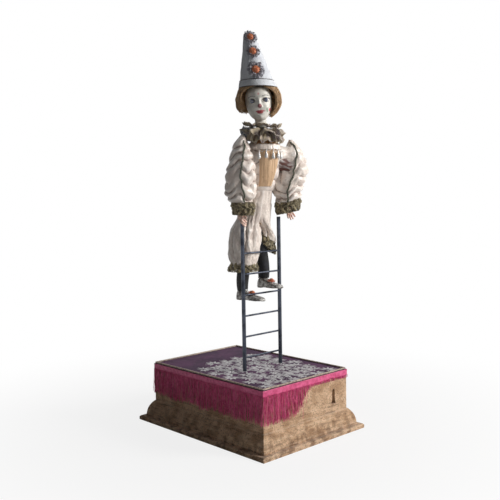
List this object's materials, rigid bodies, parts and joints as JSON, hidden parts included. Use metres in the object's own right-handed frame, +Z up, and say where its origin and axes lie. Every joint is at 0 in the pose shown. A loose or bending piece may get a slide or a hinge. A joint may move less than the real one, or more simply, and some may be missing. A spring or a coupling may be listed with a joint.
{
  "type": "clockwork ladder acrobat automaton",
  "caption": "Key-wound clockwork toy: a clown doll in satin holds a metal ladder on a covered box and swings his body up by one arm.",
  "frame": {"origin": "centre of the base's underside", "axes": "+Z up, -Y the keyhole side of the base, +X along the ladder's rungs towards its free rail"},
  "size_m": [0.235, 0.314, 0.6523],
  "materials": {
    "velvet": "worn flocked paper over wood",
    "board": "plain",
    "screw_steel": "dull",
    "deck_silk": "embroidered silk",
    "braid": "twisted braid",
    "fringe": "silk fringe",
    "gunmetal": "dark",
    "brass": "satin",
    "steel": "satin",
    "carved_wood": "plain",
    "stocking": "black stocking over wood",
    "cream_satin": "crumpled satin",
    "tan_satin": "satin",
    "beads": "glass paste",
    "lace": "cotton lace",
    "metal_lace": "metallic lace",
    "bisque": "unglazed painted",
    "eye_glass": "gloss",
    "hair": "mohair",
    "hat_felt": "covered card",
    "rosette": "gathered lace",
    "shoe_leather": "silver grey"
  },
  "bodies": {
    "base": {"front_wall": "velvet", "rear_wall": "velvet", "side_walls": "velvet", "bottom_cover": "board", "cover_screws": "screw_steel", "base_moulding": "velvet", "deck_board": "board", "deck_cloth": "deck_silk", "edge_braid": "braid", "fringe_front": "fringe", "fringe_left": "fringe", "fringe_back": "fringe", "left_rail": "gunmetal", "right_rail": "gunmetal", "rungs": "gunmetal", "rail_fittings": "gunmetal", "front_plate": "brass", "rear_plate": "brass", "plate_pillars": "brass", "cam_bracket": "brass", "arm_tube": "gunmetal", "shoulder_bracket": "brass", "right_hand": "bisque", "right_cuff": "metal_lace", "right_sleeve": "cream_satin"},
    "barrel": {"barrel_drum": "brass", "barrel_cap": "brass", "mainspring": "steel"},
    "winding_arbor": {"winding_arbor": "steel"},
    "click": {"click": "steel"},
    "second_wheel": {"second_wheel": "brass"},
    "fly_governor": {"fly_governor": "brass"},
    "camshaft": {"camshaft": "steel", "lift_cam": "brass"},
    "lift_lever": {"lift_lever": "steel"},
    "lift_rod": {"lift_rod": "steel"},
    "stop_lever": {"stop_lever": "steel"},
    "figure": {"shoulder_axle": "steel", "torso_core": "carved_wood", "limb_pins": "steel", "jacket": "cream_satin", "vest_panel": "tan_satin", "bead_trim": "beads", "ruff": "lace", "trousers_seat": "cream_satin"},
    "head": {"head": "bisque", "glass_eyes": "eye_glass", "wig": "hair", "hat": "hat_felt", "hat_rosettes": "rosette"},
    "left_arm": {"left_arm_core": "carved_wood", "left_sleeve": "cream_satin", "left_cuff": "metal_lace", "left_hand": "bisque"},
    "right_leg": {"right_leg": "stocking", "right_shoe": "shoe_leather", "right_trouser_leg": "cream_satin"},
    "left_leg": {"left_leg": "stocking", "left_shoe": "shoe_leather", "left_trouser_leg": "cream_satin"}
  },
  "joints": [
    {"name": "body_lift", "type": "hinge", "parent": "base", "child": "figure", "pos_m": [-0.0312, -0.0172, 0.463], "axis": [1, 0, 0], "range_deg": [0, 120]},
    {"name": "head_turn", "type": "hinge", "parent": "figure", "child": "head", "pos_m": [0.0125, -0.034, 0.503], "axis": [-0.1207, 0.1126, 0.9863], "range_deg": [0, 40]},
    {"name": "left_arm_raise", "type": "hinge", "parent": "figure", "child": "left_arm", "pos_m": [0.05576, -0.05236, 0.463], "axis": [-0.3907, -0.9205, 0], "range_deg": [0, 90]},
    {"name": "right_leg_kick", "type": "hinge", "parent": "figure", "child": "right_leg", "pos_m": [0.0045, -0.003, 0.338], "axis": [1, 0, 0], "range_deg": [0, 20]},
    {"name": "left_leg_kick", "type": "hinge", "parent": "figure", "child": "left_leg", "pos_m": [0.0295, -0.003, 0.338], "axis": [1, 0, 0], "range_deg": [0, 30]},
    {"name": "lift_rod_slide", "type": "slide", "parent": "base", "child": "lift_rod", "axis": [0, 0, -1], "range_m": [0, 0.01676]},
    {"name": "lift_lever_swing", "type": "hinge", "parent": "base", "child": "lift_lever", "pos_m": [0.044, -0.03, 0.04049], "axis": [0, -1, 0], "range_deg": [0, 12.72]},
    {"name": "camshaft_turn", "type": "hinge", "parent": "base", "child": "camshaft", "pos_m": [0.008, -0.077, 0.06], "axis": [0, 1, 0], "range_deg": [0, 180]},
    {"name": "barrel_turn", "type": "hinge", "parent": "base", "child": "barrel", "pos_m": [0.064, -0.09, 0.06], "axis": [0, 1, 0], "range_deg": [0, 180]},
    {"name": "second_wheel_turn", "type": "hinge", "parent": "base", "child": "second_wheel", "pos_m": [0.036, -0.077, 0.06], "axis": [0, -1, 0], "range_deg": [0, 660.1]},
    {"name": "fly_governor_turn", "type": "hinge", "parent": "base", "child": "fly_governor", "pos_m": [0.036, -0.077, 0.032], "axis": [0, 1, 0], "range_deg": [0, 2420.1]},
    {"name": "winding_turn", "type": "hinge", "parent": "base", "child": "winding_arbor", "pos_m": [0.064, -0.1, 0.06], "axis": [0, 1, 0], "continuous": true},
    {"name": "click_lift", "type": "hinge", "parent": "base", "child": "click", "pos_m": [0.05, -0.115, 0.072], "axis": [0, 1, 0], "range_deg": [0, 14], "stiffness_Nm_per_rad": 0.002},
    {"name": "stop_lever_turn", "type": "hinge", "parent": "base", "child": "stop_lever", "pos_m": [0.08, 0, 0.095], "axis": [0, 0, 1], "range_deg": [0, 12]}
  ],
  "couplings": [
    {"joint": "head_turn", "follows": "body_lift", "ratio": 0.33333},
    {"joint": "left_arm_raise", "follows": "body_lift", "ratio": 0.75},
    {"joint": "right_leg_kick", "follows": "body_lift", "ratio": 0.16667},
    {"joint": "left_leg_kick", "follows": "body_lift", "ratio": 0.25},
    {"joint": "lift_rod_slide", "follows": "body_lift", "m_per_rad": 0.008},
    {"joint": "lift_lever_swing", "follows": "body_lift", "ratio": 0.10595},
    {"joint": "camshaft_turn", "follows": "body_lift", "ratio": 1.5},
    {"joint": "barrel_turn", "follows": "body_lift", "ratio": 1.5},
    {"joint": "second_wheel_turn", "follows": "body_lift", "ratio": 5.5},
    {"joint": "fly_governor_turn", "follows": "body_lift", "ratio": 20.167}
  ]
}
